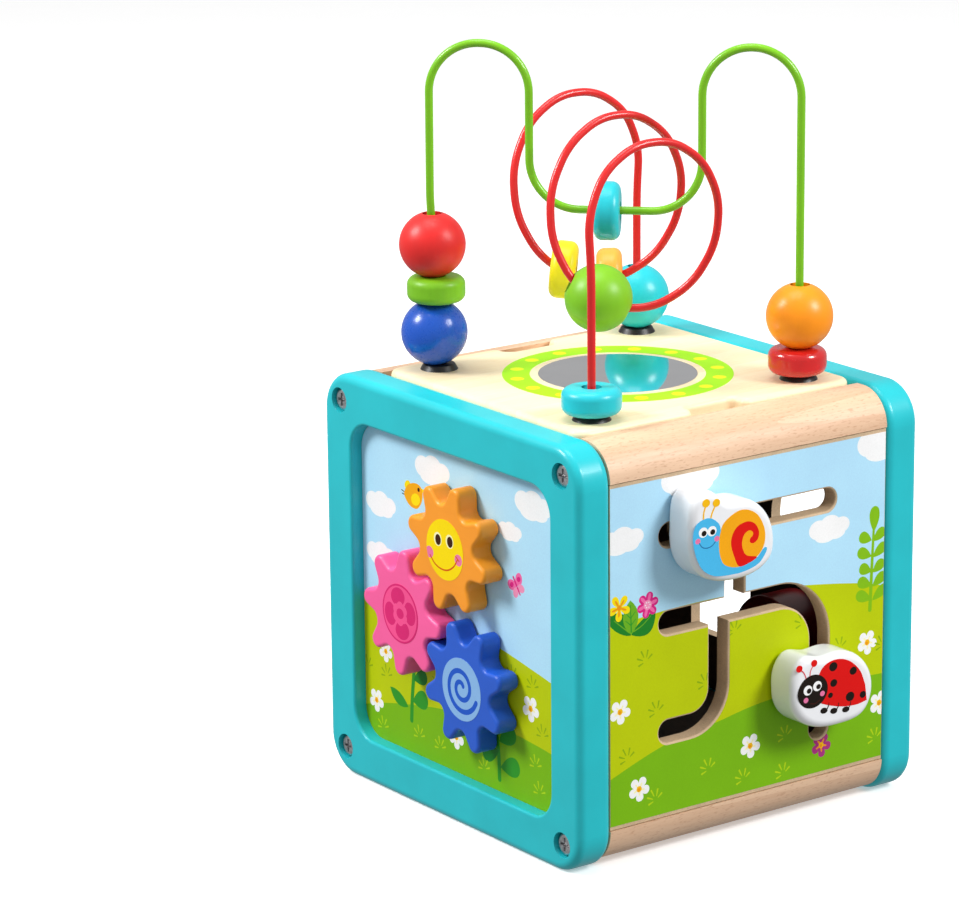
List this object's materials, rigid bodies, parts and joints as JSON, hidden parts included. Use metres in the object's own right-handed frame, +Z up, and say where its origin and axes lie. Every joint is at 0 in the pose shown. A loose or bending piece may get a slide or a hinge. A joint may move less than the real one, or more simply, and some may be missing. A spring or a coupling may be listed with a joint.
{
  "type": "wooden activity cube with bead maze",
  "caption": "Wooden baby activity cube: bead maze on a lift-off lid with a mirror, meshed gears, a slot maze with sliding blocks, and a shape sorter side.",
  "frame": {"origin": "middle of the cube's underside, on the surface that it stands on", "axes": "+Z up; the gears face -Y, the slot maze faces +X, the shape sorter faces +Y"},
  "size_m": [0.2172, 0.2052, 0.3588],
  "materials": {
    "turquoise_frame": "satin paint on wood",
    "beech_rail": "clear satin lacquer on beech",
    "printed_panel": "printed and lacquered plywood",
    "plain_board": "bare plywood",
    "screw_steel": "zinc plated",
    "lid_pine": "clear lacquer on pale wood",
    "mirror_film": "polished mirror",
    "black_grommet": "satin",
    "green_wire_paint": "glossy coating",
    "red_wire_paint": "glossy coating",
    "red_satin": "satin paint",
    "red_gloss": "gloss paint",
    "dark_red_paint": "satin paint",
    "green_paint": "satin paint",
    "blue_paint": "satin paint",
    "orange_paint": "satin paint",
    "yellow_paint": "satin paint",
    "teal_paint": "satin paint",
    "gear_orange": "satin paint",
    "gear_pink": "satin paint",
    "gear_blue": "satin paint",
    "white_gloss": "gloss paint",
    "bare_dowel": "bare hardwood"
  },
  "bodies": {
    "cube": {"front_frame": "turquoise_frame", "back_frame": "turquoise_frame", "top_rail_right": "beech_rail", "top_rail_left": "beech_rail", "bottom_rail_right": "beech_rail", "bottom_rail_left": "beech_rail", "gear_panel": "printed_panel", "sorter_panel": "printed_panel", "maze_panel": "printed_panel", "plain_panel": "printed_panel", "base_panel": "plain_board", "screw_back_lower_left": "screw_steel", "screw_back_lower_right": "screw_steel", "screw_back_upper_left": "screw_steel", "screw_back_upper_right": "screw_steel", "screw_front_lower_left": "screw_steel", "screw_front_lower_right": "screw_steel", "screw_front_upper_left": "screw_steel", "screw_front_upper_right": "screw_steel"},
    "lid": {"lid": "lid_pine", "mirror": "mirror_film", "green_wire": "green_wire_paint", "red_wire": "red_wire_paint", "grommet_back_left": "black_grommet", "grommet_back_right": "black_grommet", "grommet_front_left": "black_grommet", "grommet_front_right": "black_grommet"},
    "blue_ball": {"blue_ball": "blue_paint"},
    "green_disc": {"green_disc": "green_paint"},
    "red_ball": {"red_ball": "red_satin"},
    "red_disc": {"red_disc": "red_gloss"},
    "orange_ball": {"orange_ball": "orange_paint"},
    "teal_disc": {"teal_disc": "teal_paint"},
    "teal_ball": {"teal_ball": "teal_paint"},
    "dip_disc": {"dip_disc": "teal_paint"},
    "coil_ball": {"coil_ball": "green_paint"},
    "coil_yellow_disc": {"coil_yellow_disc": "yellow_paint"},
    "coil_orange_disc": {"coil_orange_disc": "orange_paint"},
    "sun": {"sun_gear": "gear_orange", "sun_axle": "bare_dowel", "sun_retainer": "bare_dowel"},
    "flower": {"flower_gear": "gear_pink", "flower_axle": "bare_dowel", "flower_retainer": "bare_dowel"},
    "spiral": {"spiral_gear": "gear_blue", "spiral_axle": "bare_dowel", "spiral_retainer": "bare_dowel"},
    "snail": {"snail_block": "white_gloss", "snail_pin": "bare_dowel", "snail_retainer": "bare_dowel"},
    "ladybug": {"ladybug_block": "white_gloss", "ladybug_pin": "bare_dowel", "ladybug_retainer": "bare_dowel"},
    "shape_block": {"shape_block": "dark_red_paint"}
  },
  "joints": [
    {"name": "lid_lift", "type": "slide", "parent": "cube", "child": "lid", "axis": [0, 0, 1], "range_m": [0, 0.08]},
    {"name": "blue_ball_slide", "type": "slide", "parent": "lid", "child": "blue_ball", "axis": [0, 0, 1], "range_m": [0, 0.018]},
    {"name": "green_disc_slide", "type": "slide", "parent": "blue_ball", "child": "green_disc", "axis": [0, 0, 1], "range_m": [0, 0.018]},
    {"name": "red_ball_slide", "type": "slide", "parent": "green_disc", "child": "red_ball", "axis": [0, 0, 1], "range_m": [0, 0.018]},
    {"name": "red_disc_slide", "type": "slide", "parent": "lid", "child": "red_disc", "axis": [0, 0, 1], "range_m": [0, 0.04]},
    {"name": "orange_ball_slide", "type": "slide", "parent": "red_disc", "child": "orange_ball", "axis": [0, 0, 1], "range_m": [0, 0.04]},
    {"name": "teal_disc_slide", "type": "slide", "parent": "lid", "child": "teal_disc", "axis": [0, 0, 1], "range_m": [0, 0.04]},
    {"name": "teal_ball_slide", "type": "slide", "parent": "lid", "child": "teal_ball", "axis": [0, 0, 1], "range_m": [0, 0.024]},
    {"name": "dip_disc_slide", "type": "slide", "parent": "lid", "child": "dip_disc", "axis": [0.7071, 0.7071, 0], "range_m": [-0.0055, 0.0145]},
    {"name": "coil_ball_swing", "type": "hinge", "parent": "lid", "child": "coil_ball", "pos_m": [0.02561, -0.01095, 0.27375], "axis": [-0.8185, 0.5656, -0.1007], "range_deg": [-12, 12]},
    {"name": "coil_yellow_disc_swing", "type": "hinge", "parent": "lid", "child": "coil_yellow_disc", "pos_m": [-0.03217, 0.01394, 0.27626], "axis": [-0.8246, 0.557, -0.0988], "range_deg": [-4, 14]},
    {"name": "coil_orange_disc_swing", "type": "hinge", "parent": "lid", "child": "coil_orange_disc", "pos_m": [-0.02867, 0.01024, 0.27386], "axis": [-0.8156, 0.5776, 0.0357], "range_deg": [-14, 4]},
    {"name": "flower_spin", "type": "hinge", "parent": "cube", "child": "flower", "pos_m": [-0.031, -0.1, 0.0952], "axis": [0, -1, 0], "continuous": true},
    {"name": "sun_spin", "type": "hinge", "parent": "cube", "child": "sun", "pos_m": [0.00562, -0.1, 0.13489], "axis": [0, -1, 0], "continuous": true},
    {"name": "spiral_spin", "type": "hinge", "parent": "cube", "child": "spiral", "pos_m": [0.01733, -0.1, 0.07111], "axis": [0, -1, 0], "continuous": true},
    {"name": "snail_slide", "type": "slide", "parent": "cube", "child": "snail", "axis": [0, 1, 0], "range_m": [-0.0205, 0.072]},
    {"name": "ladybug_slide", "type": "slide", "parent": "cube", "child": "ladybug", "axis": [0, 0, 1], "range_m": [-0.0225, 0.0185]},
    {"name": "shape_block_lift", "type": "slide", "parent": "cube", "child": "shape_block", "axis": [0, 0, 1], "range_m": [0, 0.07]}
  ],
  "couplings": [
    {"joint": "sun_spin", "follows": "flower_spin", "ratio": -1},
    {"joint": "spiral_spin", "follows": "flower_spin", "ratio": -1}
  ]
}
